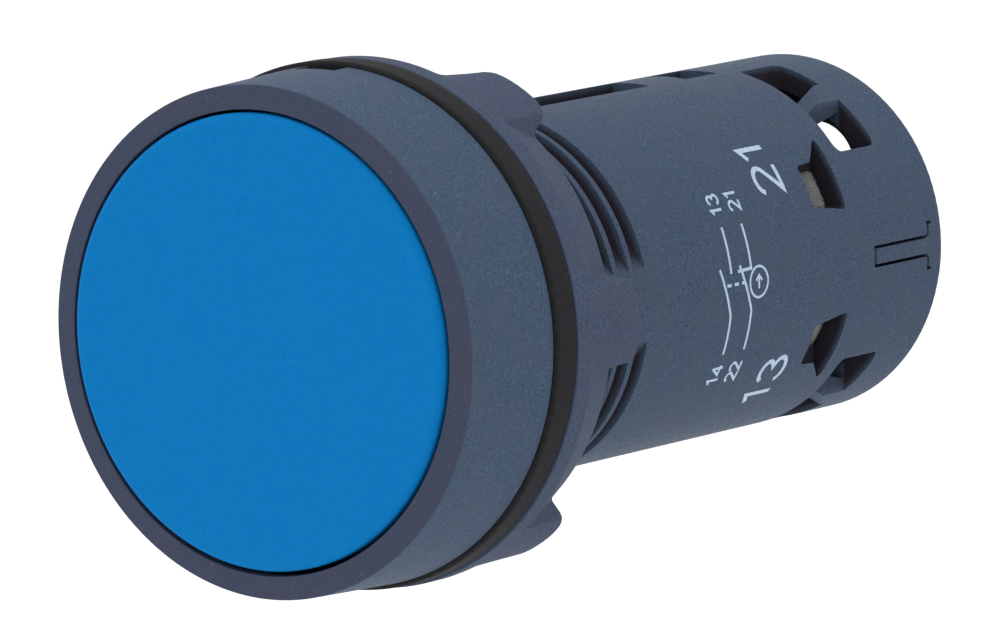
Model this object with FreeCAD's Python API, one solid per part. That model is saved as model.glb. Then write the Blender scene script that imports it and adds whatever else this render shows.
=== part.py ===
import FreeCAD, Part
import math
import os

# Panel push button, 22 mm barrel. Millimetres, +Z up.
# Origin on the button's axis at the panel plane; +Y runs back towards the terminals.
# Angles about the axis: 0 is +X, 90 is +Z.

V = FreeCAD.Vector
ORIGIN = V(0, 0, 0)
AXIS = V(0, 1, 0)

# head
CAP_R = 13.25
CAP_RISE = 0.05
CAP_FRONT_Y = -10.1
CAP_WALL = 1.2
CAP_SKIRT_Y = -8.2
CAP_EDGE = 0.45
BEZEL_BORE_R = 13.47
BEZEL_FRONT_R = 14.89
BEZEL_REAR_R = 15.19
BEZEL_LIP_Y = -9.79
BEZEL_FRONT_Y = -9.53
BEZEL_REAR_Y = -1.99
GASKET_R = 15.45

# barrel
BARREL_R = 11.0
BARREL_END_Y = 43.4
FRONT_BORE_R = 9.0
REAR_BORE_R = 9.6
BORE_STEP_Y = 15.0
WALL_FRONT_Y = -3.6
WALL_REAR_Y = -1.6
THREAD_PITCH = 1.6
THREAD_ROOT_R = 10.0
THREAD_TURNS = 8
THREAD_START_Y = 0.8
THREAD_MOUTH = 0.64
THREAD_FLOOR = 0.25
LAND_DEG = 11.0
KEYWAY_HALF_W = 1.4
KEYWAY_FLOOR = 10.1
KEYWAY_END_Y = 27.5
POCKET_START_Y = 31.3
POCKET_END_Y = 34.6
FIT = 0.08

# fixing nut
NUT_R = 15.5
NUT_DROP = 0.1
NUT_BORE_R = 11.35
NUT_RIM_Y = 1.35
NUT_HUB_R = 13.9
NUT_HUB_Y = 5.5
LUG_COUNT = 6
LUG_HALF_W = 2.5
LUG_END_Y = 6.25
LUG_TURN = 1.7
LUG_CORNER = 1.3

# plunger and travel
STEM_R = 4.0
TAIL_R = 3.6
COLLAR_R = 6.4
COLLAR_FRONT_Y = -1.5
COLLAR_REAR_Y = 0.0
TAIL_END_Y = 17.7

# contacts
BLOCK_R = 9.5
BLOCK_END_Y = 35.0
CHAMBER_Y0 = 17.5
CHAMBER_Y1 = 27.5
STRIP = 0.7
ROW_Z = 4.1
ROW_HALF = 1.1
TIP_X = 5.0
TIP_R = 0.9
BRIDGE_Y = 21.5
BRIDGE_T = 0.6
NC_ARM_Y = 20.0
NO_ARM_Y = 25.7

# screw terminals
SCREW_X = 3.3
SCREW_Z = 4.5
SCREW_R = 1.5
HEAD_R = 2.4
PAD_T = 0.8
POCKET_Y = 31.4
WELL_R = 2.75

# rear slots over the screws
SLOT_X0 = 1.85
SLOT_X1 = 9.0
SLOT_Y0 = 36.2
SLOT_Y1 = 40.3
STRUT_X0 = 5.0
STRUT_X1 = 6.4
STRUT_DROP = 0.9
STRUT_T = 0.75

# rear cover
COVER_PLUG_Y = 42.4
COVER_END_Y = 44.43
COVER_R = 11.0
TONGUE_HALF_W = 0.47
TONGUE_FLARE = 1.3
TONGUE_Y = 37.3
TONGUE_FLARE_Y = 43.1
TONGUE_GAP = 0.2
TONGUE_Z = -0.06
GAP = 0.1


def cylinder(radius, y0, y1, x=0.0, z=0.0):
    return Part.makeCylinder(radius, y1 - y0, V(x, y0, z), AXIS)


def box(x0, x1, y0, y1, z0, z1):
    return Part.makeBox(x1 - x0, y1 - y0, z1 - z0, V(x0, y0, z0))


def revolved(points):
    """Turn a closed outline of (radius, y) points about the axis."""
    corners = [V(r, y, 0) for r, y in points]
    wire = Part.makePolygon(corners + corners[:1])
    return Part.Face(wire).revolve(ORIGIN, AXIS, 360)


def turned(shape, degrees):
    """Rotate a shape about the axis, +X towards +Z."""
    copy = shape.copy()
    copy.rotate(ORIGIN, AXIS, -degrees)
    return copy


def mirrored(shape, side_x, side_z):
    """Place a shape built in the +X +Z quarter into another quarter."""
    out = shape
    if side_x < 0:
        out = out.mirror(ORIGIN, V(1, 0, 0))
    if side_z < 0:
        out = out.mirror(ORIGIN, V(0, 0, 1))
    return out


def round_edges(shape, radius, wanted):
    """Fillet the edges for which wanted(edge) is true."""
    edges = [edge for edge in shape.Edges if wanted(edge)]
    return shape.makeFillet(radius, edges)


def rim_at(edge, radius, y):
    """True for a circular edge about the axis at this radius and height."""
    curve = edge.Curve
    if not isinstance(curve, Part.Circle):
        return False
    return abs(curve.Radius - radius) < 1e-3 and abs(curve.Center.y - y) < 1e-3


def helix_solid(profile, pitch, height, radius, y0, x=0.0, z=0.0):
    """Sweep a profile drawn at (radius, 0, 0) up a helix, then lay it along the axis."""
    path = Part.Wire(Part.makeHelix(pitch, height, radius).Edges)
    solid = path.makePipeShell([profile], True, True)
    solid.rotate(ORIGIN, V(1, 0, 0), -90)
    solid.translate(V(x, y0, z))
    return solid


def coil(radius, wire_r, turns, y0, y1, x=0.0, z=0.0):
    """Round-wire compression spring whose ends touch y0 and y1."""
    height = y1 - y0 - 2 * wire_r
    circle = Part.Wire(Part.makeCircle(wire_r, V(radius, 0, 0), V(0, 1, 0)))
    return helix_solid(circle, height / turns, height, radius, y0 + wire_r, x, z)


def push_cap():
    skirt_inner = CAP_R - 1.04
    ring_y = CAP_SKIRT_Y - 0.1
    inside_y = CAP_FRONT_Y + CAP_WALL
    cap = cylinder(CAP_R, CAP_FRONT_Y, CAP_SKIRT_Y)
    cap = cap.cut(cylinder(skirt_inner, inside_y, CAP_SKIRT_Y))
    ring = cylinder(8.6, inside_y - 0.2, ring_y).cut(cylinder(7.6, inside_y - 1, ring_y))
    ring = ring.common(cylinder(CAP_R, inside_y - 0.2, ring_y))
    cap = cap.fuse(ring).removeSplitter()
    cap = round_edges(cap, CAP_EDGE, lambda e: rim_at(e, CAP_R, CAP_FRONT_Y))
    return cap.translated(V(0, 0, CAP_RISE))


def plunger():
    head_y = CAP_FRONT_Y + CAP_WALL
    head = cylinder(7.5, head_y, head_y + 0.6)
    stem = cylinder(STEM_R, head_y, COLLAR_REAR_Y)
    collar = cylinder(COLLAR_R, COLLAR_FRONT_Y, COLLAR_REAR_Y)
    tail = cylinder(TAIL_R, COLLAR_REAR_Y - 0.5, TAIL_END_Y)
    return head.fuse([stem, collar, tail]).removeSplitter()


def contact_carrier():
    plate = box(-1.8, 1.8, TAIL_END_Y, TAIL_END_Y + 0.8, -6.0, 5.6)
    pusher = box(-1.4, 1.4, TAIL_END_Y, 19.9, ROW_Z - 0.9, ROW_Z + 0.9)
    cage = box(-1.6, 1.6, TAIL_END_Y, 22.9, -6.0, -2.2)
    cage = cage.cut(box(-2, 2, TAIL_END_Y + 0.8, 22.2, -5.4, -2.8))
    return plate.fuse([pusher, cage]).removeSplitter()


def return_spring():
    return coil(5.3, 0.4, 6, COLLAR_REAR_Y, BORE_STEP_Y)


def nc_spring():
    return coil(0.9, 0.18, 6, BRIDGE_Y + BRIDGE_T, CHAMBER_Y1, 0, ROW_Z)


def no_spring():
    return coil(0.9, 0.15, 4, TAIL_END_Y + 0.8, BRIDGE_Y, 0, -ROW_Z)


def stem_seal():
    y0 = WALL_FRONT_Y + 0.05
    ring = cylinder(6.15, y0, y0 + 0.8)
    return ring.cut(cylinder(STEM_R + 0.1, y0, y0 + 0.8))


def bezel():
    ring = revolved([
        (BEZEL_BORE_R, BEZEL_LIP_Y),
        (BEZEL_FRONT_R, BEZEL_FRONT_Y),
        (BEZEL_REAR_R, BEZEL_REAR_Y),
        (BEZEL_BORE_R, BEZEL_REAR_Y),
    ])
    ring = round_edges(ring, 0.25, lambda e: rim_at(e, BEZEL_FRONT_R, BEZEL_FRONT_Y))
    notch = turned(box(14.2, 16, BEZEL_REAR_Y - 1.4, 0, -1.2, 1.2), 91.5)
    return ring.cut(notch)


def panel_gasket():
    return cylinder(GASKET_R, BEZEL_REAR_Y, 0).cut(cylinder(BARREL_R + 0.3, BEZEL_REAR_Y, 0))


def fixing_nut():
    rim = revolved([
        (NUT_BORE_R, 0),
        (NUT_R, 0),
        (NUT_R, NUT_RIM_Y),
        (NUT_HUB_R, NUT_HUB_Y),
        (NUT_BORE_R, NUT_HUB_Y),
    ])
    lug = box(12.2, 17, 0, LUG_END_Y, -LUG_HALF_W, LUG_HALF_W)
    lug = lug.common(cylinder(NUT_R, 0, LUG_END_Y))
    lug = lug.makeFillet(LUG_CORNER, [e for e in lug.Edges if is_side_corner(e)])
    rear = LUG_END_Y - 1e-3
    lug = round_edges(lug, 0.35, lambda e: e.BoundBox.YMin > rear and e.BoundBox.XMin > 12.3)
    step = 360 / LUG_COUNT
    lugs = [turned(lug, LUG_TURN + step * i) for i in range(LUG_COUNT)]
    nut = rim.fuse(lugs).removeSplitter().translated(V(0, 0, -NUT_DROP))
    bore = cylinder(NUT_BORE_R, -1, LUG_END_Y + 1)
    return nut.cut(bore)


def is_side_corner(edge):
    """True for the lug's two long edges where its sides meet the outer surface."""
    span = edge.BoundBox
    return span.YLength > 5 and span.XMin > 14


def thread_groove():
    """Helical channel that fades out towards a plain land on each side."""
    mouth_r = BARREL_R + 0.2
    corners = [
        V(THREAD_ROOT_R, 0, -THREAD_FLOOR),
        V(mouth_r, 0, -THREAD_MOUTH),
        V(mouth_r, 0, THREAD_MOUTH),
        V(THREAD_ROOT_R, 0, THREAD_FLOOR),
    ]
    profile = Part.makePolygon(corners + corners[:1])
    height = THREAD_PITCH * THREAD_TURNS
    groove = helix_solid(profile, THREAD_PITCH, height, THREAD_ROOT_R, THREAD_START_Y)
    groove = turned(groove, 180)
    land = side_land()
    return groove.cut(land).cut(turned(land, 180))


def side_land():
    """Prism left uncut at one side, with faces tangent to the thread's root."""
    a = math.radians(LAND_DEG)
    b = a + math.acos((THREAD_ROOT_R - 0.02) / BARREL_R)
    reach = 14.0
    lean = b - math.pi / 2
    length = (reach - BARREL_R * math.cos(a)) / math.cos(lean)
    tip = (BARREL_R * math.cos(a), BARREL_R * math.sin(a))
    inner = (THREAD_ROOT_R * math.cos(b), THREAD_ROOT_R * math.sin(b))
    outer = (reach, tip[1] + length * math.sin(lean))
    rim = [inner, tip, outer] if outer[1] > 0 else [inner, tip, (reach, 0.5)]
    points = [V(x, -2, z) for x, z in rim]
    points += [V(x, -2, -z) for x, z in reversed(rim)]
    face = Part.Face(Part.makePolygon(points + points[:1]))
    return face.extrude(V(0, 20, 0))


def window():
    """Side window for the wire, drawn from the side and cut along X."""
    corners = [(31.5, 3.6), (34.8, 3.1), (34.8, 7.42), (33.0, 6.1), (31.5, 6.0)]
    wire = [V(8, y, z) for y, z in corners]
    face = Part.Face(Part.makePolygon(wire + wire[:1]))
    solid = face.extrude(V(4, 0, 0))
    return solid.makeFillet(0.25, [e for e in solid.Edges if e.BoundBox.XLength > 3])


def slot():
    """Long rear slot cut from above along Z, with a sloping strut left across it."""
    solid = box(SLOT_X0, SLOT_X1, SLOT_Y0, SLOT_Y1, 4, 12)
    upright = [e for e in solid.Edges if e.BoundBox.ZLength > 3]
    solid = solid.makeFillet(0.5, upright)
    edge = math.sqrt(BARREL_R ** 2 - STRUT_X1 ** 2)
    low = edge - STRUT_DROP
    high = math.sqrt(BARREL_R ** 2 - STRUT_X0 ** 2) + 0.3
    corners = [
        (SLOT_Y0, low - STRUT_T),
        (SLOT_Y1, edge - STRUT_T),
        (SLOT_Y1, high),
        (SLOT_Y0, low),
    ]
    wire = [V(STRUT_X0, y, z) for y, z in corners]
    strut = Part.Face(Part.makePolygon(wire + wire[:1])).extrude(V(STRUT_X1 - STRUT_X0, 0, 0))
    return solid.cut(strut)


def tongue_shape(grow, r0):
    """Snap tongue that widens in two curves towards its root on the rear cover."""
    y0 = TONGUE_Y - grow
    y1 = BARREL_END_Y + (0.0 if grow else 0.4)
    half = TONGUE_HALF_W + grow
    stem = box(8, 12, y0, y1, -half, half)
    foot = box(8, 12, TONGUE_FLARE_Y - grow, y1, -TONGUE_FLARE - grow, TONGUE_FLARE + grow)
    ring = cylinder(BARREL_R, y0, y1).cut(cylinder(r0, y0, y1))
    shape = stem.fuse(foot).removeSplitter()
    inner = [e for e in shape.Edges if in_corner(e, half, TONGUE_FLARE_Y - grow)]
    shape = shape.makeFillet(0.45 - grow, inner)
    return shape.translated(V(0, 0, TONGUE_Z)).common(ring)


def in_corner(edge, half, y):
    """True for the straight edges along X where the tongue's stem meets its foot."""
    span = edge.BoundBox
    along_x = span.XLength > 3 and span.YLength < 1e-3 and span.ZLength < 1e-3
    return along_x and abs(abs(span.ZMin) - half) < 1e-3 and abs(span.YMin - y) < 1e-3


def barrel():
    body = revolved([
        (STEM_R + FIT, WALL_FRONT_Y),
        (BEZEL_BORE_R - 0.02, WALL_FRONT_Y),
        (BEZEL_BORE_R - 0.02, BEZEL_REAR_Y),
        (BARREL_R, BEZEL_REAR_Y),
        (BARREL_R, BARREL_END_Y),
        (REAR_BORE_R, BARREL_END_Y),
        (REAR_BORE_R, BORE_STEP_Y),
        (FRONT_BORE_R, BORE_STEP_Y),
        (FRONT_BORE_R, WALL_REAR_Y),
        (STEM_R + FIT, WALL_REAR_Y),
    ])
    cuts = [cylinder(6.2, WALL_FRONT_Y, WALL_FRONT_Y + 0.9)]
    cuts.append(thread_groove())
    keyway = box(-KEYWAY_HALF_W, KEYWAY_HALF_W, 0, KEYWAY_END_Y, KEYWAY_FLOOR, 12)
    pocket = box(-KEYWAY_HALF_W, KEYWAY_HALF_W, POCKET_START_Y, POCKET_END_Y, 9.9, 12)
    cuts.append(keyway)
    cuts.append(pocket)
    for side_x in (1, -1):
        for side_z in (1, -1):
            cuts.append(mirrored(window(), side_x, side_z))
            cuts.append(mirrored(slot(), side_x, side_z))
    grown = tongue_shape(TONGUE_GAP, REAR_BORE_R - 0.2)
    grown = grown.fuse(grown.translated(V(0.2, 0, 0)))
    cuts.append(grown)
    cuts.append(turned(grown, 180))
    for cut in cuts:
        body = body.cut(cut)
    return body


def rear_cover():
    disc = revolved([
        (0, COVER_PLUG_Y),
        (BLOCK_R, COVER_PLUG_Y),
        (BLOCK_R, BARREL_END_Y),
        (COVER_R, BARREL_END_Y),
        (COVER_R, COVER_END_Y),
        (0, COVER_END_Y),
    ])
    disc = round_edges(disc, 0.08, lambda e: rim_at(e, COVER_R, COVER_END_Y))
    tongue = tongue_shape(0.0, REAR_BORE_R + 0.1)
    cover = disc.fuse([tongue, turned(tongue, 180)]).removeSplitter()
    for side_x in (1, -1):
        for side_z in (1, -1):
            well = cylinder(WELL_R, COVER_PLUG_Y, COVER_END_Y, side_x * SCREW_X, side_z * SCREW_Z)
            cover = cover.cut(well)
    return cover


def contact_block():
    body = cylinder(BLOCK_R, BORE_STEP_Y, BLOCK_END_Y)
    walls = box(-0.6, 0.6, BLOCK_END_Y, COVER_PLUG_Y - GAP, -BLOCK_R, BLOCK_R)
    walls = walls.fuse(box(-BLOCK_R, BLOCK_R, BLOCK_END_Y, COVER_PLUG_Y - GAP, -1.5, 1.5))
    walls = walls.common(cylinder(BLOCK_R, BLOCK_END_Y, COVER_PLUG_Y))
    cuts = [cylinder(TAIL_R + FIT, BORE_STEP_Y, CHAMBER_Y0)]
    cuts.append(box(-7.2, 7.2, CHAMBER_Y0, CHAMBER_Y1, -5.4, 5.4))
    cuts.append(box(-2.2, 2.2, CHAMBER_Y0, CHAMBER_Y1, -6.5, 6.5))
    for side_x in (1, -1):
        for side_z in (1, -1):
            cuts.append(mirrored(box(1.4, 9.6, POCKET_Y, BLOCK_END_Y, 2.5, 7.5), side_x, side_z))
            cuts.append(mirrored(box(5.3, 7.1, CHAMBER_Y1, BLOCK_END_Y, 1.6, 2.4), side_x, side_z))
    for cut in cuts:
        body = body.cut(cut)
    return body.fuse(walls).removeSplitter()


def bridge(side_z, tip_y0, tip_y1):
    """Moving contact strip with a tip at each end."""
    z = side_z * ROW_Z
    strip = box(-6, 6, BRIDGE_Y, BRIDGE_Y + BRIDGE_T, z - ROW_HALF, z + ROW_HALF)
    tips = [cylinder(TIP_R, tip_y0, tip_y1, side * TIP_X, z) for side in (1, -1)]
    return strip.fuse(tips).removeSplitter()


def nc_bridge():
    return bridge(1, BRIDGE_Y - 0.4, BRIDGE_Y)


def no_bridge():
    return bridge(-1, BRIDGE_Y + BRIDGE_T, BRIDGE_Y + BRIDGE_T + 0.5)


def terminal(side_x, side_z, arm_y, tip_y0, tip_y1):
    """Brass strip from its fixed contact tip back to the screw pad."""
    arm = box(4.0, 7.0, arm_y, arm_y + STRIP, 1.7, 5.2)
    leg = box(5.4, 7.0, arm_y, BLOCK_END_Y + 0.4, 1.7, 2.3)
    pad = box(1.0, 9.0, BLOCK_END_Y, BLOCK_END_Y + PAD_T, 1.7, 5.9)
    pad = pad.common(cylinder(BLOCK_R - 0.1, BLOCK_END_Y, BLOCK_END_Y + PAD_T))
    lug = cylinder(HEAD_R, BLOCK_END_Y, BLOCK_END_Y + PAD_T, SCREW_X, SCREW_Z)
    tip = cylinder(TIP_R, tip_y0, tip_y1, TIP_X, ROW_Z)
    strip = arm.fuse([leg, pad, lug, tip]).removeSplitter()
    hole = cylinder(SCREW_R + FIT, BLOCK_END_Y, BLOCK_END_Y + PAD_T, SCREW_X, SCREW_Z)
    return mirrored(strip.cut(hole), side_x, side_z)


def clamp(side_x, side_z):
    plate = box(1.6, 6.2, POCKET_Y + 0.5, POCKET_Y + 1.4, 2.7, 6.5)
    hole = cylinder(SCREW_R + FIT, POCKET_Y, POCKET_Y + 2, SCREW_X, SCREW_Z)
    return mirrored(plate.cut(hole), side_x, side_z)


def terminal_screw(side_x, side_z):
    seat = BLOCK_END_Y + PAD_T + 0.05
    top = seat + 1.8
    head = cylinder(HEAD_R, seat, top, SCREW_X, SCREW_Z)
    head = round_edges(head, 0.3, lambda e: isinstance(e.Curve, Part.Circle) and e.BoundBox.YMin > top - 0.01)
    shank = cylinder(SCREW_R, POCKET_Y + 0.2, seat + 0.5, SCREW_X, SCREW_Z)
    screw = head.fuse(shank).removeSplitter()
    for half_x, half_z in ((1.8, 0.3), (0.3, 1.8)):
        screw = screw.cut(box(
            SCREW_X - half_x, SCREW_X + half_x, top - 0.9, top,
            SCREW_Z - half_z, SCREW_Z + half_z))
    return mirrored(screw, side_x, side_z)


QUARTERS = {"21": (1, 1), "22": (-1, 1), "13": (1, -1), "14": (-1, -1)}


def all_parts():
    parts = {
        "push_cap": push_cap(),
        "plunger": plunger(),
        "contact_carrier": contact_carrier(),
        "return_spring": return_spring(),
        "nc_spring": nc_spring(),
        "no_spring": no_spring(),
        "stem_seal": stem_seal(),
        "bezel": bezel(),
        "panel_gasket": panel_gasket(),
        "fixing_nut": fixing_nut(),
        "barrel": barrel(),
        "rear_cover": rear_cover(),
        "contact_block": contact_block(),
        "nc_bridge": nc_bridge(),
        "no_bridge": no_bridge(),
    }
    for number, (side_x, side_z) in QUARTERS.items():
        if side_z > 0:
            strip = terminal(side_x, side_z, NC_ARM_Y, NC_ARM_Y + STRIP, BRIDGE_Y - 0.4)
        else:
            strip = terminal(side_x, side_z, NO_ARM_Y, NO_ARM_Y - 0.5, NO_ARM_Y)
        parts["terminal_" + number] = strip
        parts["clamp_" + number] = clamp(side_x, side_z)
        parts["screw_" + number] = terminal_screw(side_x, side_z)
    return parts


os.makedirs("parts", exist_ok=True)
for name, shape in all_parts().items():
    shape.exportStep("parts/" + name + ".step")
    print(name, shape.ShapeType, shape.isValid(), len(shape.Solids), round(shape.Volume, 3))
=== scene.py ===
import math

import bpy
import numpy as np
from bpy.props import FloatProperty, FloatVectorProperty, IntProperty, PointerProperty
from mathutils import Matrix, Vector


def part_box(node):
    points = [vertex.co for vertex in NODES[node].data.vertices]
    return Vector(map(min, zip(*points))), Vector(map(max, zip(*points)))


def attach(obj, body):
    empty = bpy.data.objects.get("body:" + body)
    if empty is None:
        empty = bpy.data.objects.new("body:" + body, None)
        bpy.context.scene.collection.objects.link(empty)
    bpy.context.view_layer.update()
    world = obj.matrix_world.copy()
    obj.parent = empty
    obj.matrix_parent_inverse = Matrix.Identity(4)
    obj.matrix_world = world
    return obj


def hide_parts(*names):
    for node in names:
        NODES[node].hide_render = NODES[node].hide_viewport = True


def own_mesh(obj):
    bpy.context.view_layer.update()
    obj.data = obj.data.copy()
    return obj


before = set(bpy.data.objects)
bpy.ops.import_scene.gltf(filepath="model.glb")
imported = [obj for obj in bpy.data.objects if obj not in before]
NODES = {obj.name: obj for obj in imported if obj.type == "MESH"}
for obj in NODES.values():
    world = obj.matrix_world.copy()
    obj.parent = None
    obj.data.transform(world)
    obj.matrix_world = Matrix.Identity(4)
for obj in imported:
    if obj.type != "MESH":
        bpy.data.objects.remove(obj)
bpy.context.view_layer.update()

bl_info = {
    "name": "Panel push button",
    "version": (1, 0, 0),
    "blender": (4, 5, 0),
    "location": "View3D > Sidebar > Push Button",
    "description": "Finishes a 22 mm panel push button: mouldings, springs, metal, printing",
    "category": "Object",
}

MM = 0.001
ROUND = 256

# Sizes in millimetres that pieces share.
BARREL_R = 11.0
GASKET_BORE_R = 11.3
CAP_FACE_THICK = 1.2
CAP_WALL_THICK = 1.04
GRIP_RING_OUTER_R = 8.6
GRIP_RING_INNER_R = 7.6
BEZEL_FACE_RISE = 0.26
BEZEL_FLARE = 0.3
NUT_BORE_R = 11.35
NUT_RIM_Y = 1.35
NUT_HUB_R = 13.9
NUT_HUB_Y = 5.5
NUT_LUG_INNER_R = 12.2
# Rear end of the painted shade in the barrel's grooves, slots and windows
PAINTED_SHADE_END_Y = 43.9
# Struts and key groove floor, which the painted shade leaves out
STRUT_MIDDLE_X = 5.7
STRUT_HALF_WIDTH = 0.7
SLOT_FRONT_Y = 36.1
KEY_HALF_WIDTH = 1.33
KEY_FLOOR_Z = 9.85


def size_of(node):
    """Lowest and highest corner of a frame node in millimetres."""
    low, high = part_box(node)
    return np.array(low) / MM, np.array(high) / MM


# ---------------------------------------------------------------- surfaces


def rounded(corners, radii, closed=True, steps=6):
    """Outline with its corners rounded. Each corner is swapped for an arc that touches both
    of its sides; a point just outside each end of the arc keeps the sides flat when shaded."""
    points = []
    count = len(corners)
    corners = np.array(corners, float)
    for i in range(count):
        here, radius = corners[i], radii[i]
        if radius <= 0 or (not closed and i in (0, count - 1)):
            points.append(here)
            continue
        before = corners[i - 1] - here
        after = corners[(i + 1) % count] - here
        before /= np.linalg.norm(before)
        after /= np.linalg.norm(after)
        half = math.acos(float(np.clip(before @ after, -1, 1))) / 2
        reach = radius / math.tan(half)
        centre = here + (before + after) / np.linalg.norm(before + after) * radius / math.sin(half)
        a = here + before * reach - centre
        b = here + after * reach - centre
        sweep = math.pi - 2 * half
        share = np.linspace(0, 1, steps + 1)[:, None]
        arc = (np.sin((1 - share) * sweep) * a + np.sin(share * sweep) * b) / math.sin(sweep)
        points.append(here + before * (reach + 0.4 * radius))
        points.extend(centre + arc)
        points.append(here + after * (reach + 0.4 * radius))
    return np.array(points)


def grid_faces(rows, columns, join_rows, join_columns):
    """Four-sided faces of a grid of points numbered row by row, joined up at its ends."""
    i = np.arange(rows if join_rows else rows - 1)[:, None]
    j = np.arange(columns if join_columns else columns - 1)[None, :]
    i2, j2 = (i + 1) % rows, (j + 1) % columns
    corners = [i * columns + j, i2 * columns + j, i2 * columns + j2, i * columns + j2]
    return np.stack([np.broadcast_to(c, (i.size, j.size)) for c in corners], -1).reshape(-1, 4)


def turned_ring(outline, around=ROUND):
    """A closed outline of (radius, y) carried round the Y axis:
    x = radius cos(a), z = radius sin(a)."""
    a = np.linspace(0, 2 * math.pi, around, endpoint=False)[:, None]
    r, y = outline[:, 0][None, :], outline[:, 1][None, :]
    points = np.stack([r * np.cos(a), y + 0 * a, r * np.sin(a)], -1)
    return points.reshape(-1, 3), grid_faces(around, len(outline), True, True).tolist()


def turned_body(outline, around=ROUND):
    """An open outline of (radius, y) carried round the Y axis, whose first and last points
    are on the axis, where a fan of triangles closes each end."""
    inner = outline[1:-1]
    points, _ = turned_ring(inner, around)
    count = len(inner)
    faces = grid_faces(around, count, True, False).tolist()
    first, last = len(points), len(points) + 1
    points = np.vstack([points, [[0, outline[0, 1], 0], [0, outline[-1, 1], 0]]])
    for i in range(around):
        n = (i + 1) % around
        faces.append([first, n * count, i * count])
        faces.append([last, i * count + count - 1, n * count + count - 1])
    return points, faces


def coil_tube(radius, wire, turns, y0, y1, centre, sides=12, per_turn=48):
    """Round wire carried along a helix: the path is (R cos t, y, R sin t), where y rises
    evenly, but stays level for the first and last three quarters of a turn. A fan of
    triangles closes each end."""
    t = np.linspace(0, 1, int(turns * per_turn) + 1)
    level = 0.75 / turns
    rise = np.clip((t - level) / (1 - 2 * level), 0, 1)
    y = y0 + wire + rise * (y1 - y0 - 2 * wire)
    angle = 2 * math.pi * turns * t
    out = np.stack([np.cos(angle), 0 * angle, np.sin(angle)], -1)
    path = radius * out + np.stack([0 * y, y, 0 * y], -1)
    along = np.gradient(path, axis=0)
    along /= np.linalg.norm(along, axis=1, keepdims=True)
    over = np.cross(along, out)
    s = np.linspace(0, 2 * math.pi, sides, endpoint=False)
    ring = out[:, None] * np.cos(s)[None, :, None] + over[:, None] * np.sin(s)[None, :, None]
    points = (path[:, None] + wire * ring).reshape(-1, 3)
    faces = grid_faces(len(path), sides, False, True).tolist()
    ends = len(points)
    points = np.vstack([points, path[0], path[-1]]) + np.array([centre[0], 0, centre[1]])
    last = (len(path) - 1) * sides
    for i in range(sides):
        n = (i + 1) % sides
        faces.append([ends, i, n])
        faces.append([ends + 1, last + n, last + i])
    return points, faces


def outward(points, faces):
    """The same faces, all reversed if the volume that they enclose comes out negative."""
    volume = 0.0
    for size in (3, 4):
        same = np.array([f for f in faces if len(f) == size])
        if len(same):
            for k in range(1, size - 1):
                a, b, c = points[same[:, 0]], points[same[:, k]], points[same[:, k + 1]]
                volume += float(np.sum(a * np.cross(b, c)))
    return [f[::-1] for f in faces] if volume < 0 else faces


def add_piece(name, points, faces, material, body, stands_for=()):
    """Put a surface given in millimetres into the scene as a piece that rides on a body."""
    mesh = bpy.data.meshes.new(name)
    faces = outward(points, faces)
    mesh.from_pydata((points * MM).tolist(), [], faces)
    mesh.validate()
    mesh.shade_smooth()
    mesh.materials.append(material)
    piece = bpy.data.objects.new(name, mesh)
    bpy.context.scene.collection.objects.link(piece)
    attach(piece, body)
    if stands_for:
        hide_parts(*stands_for)
    return piece


# ---------------------------------------------------------------- finishes


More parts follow.
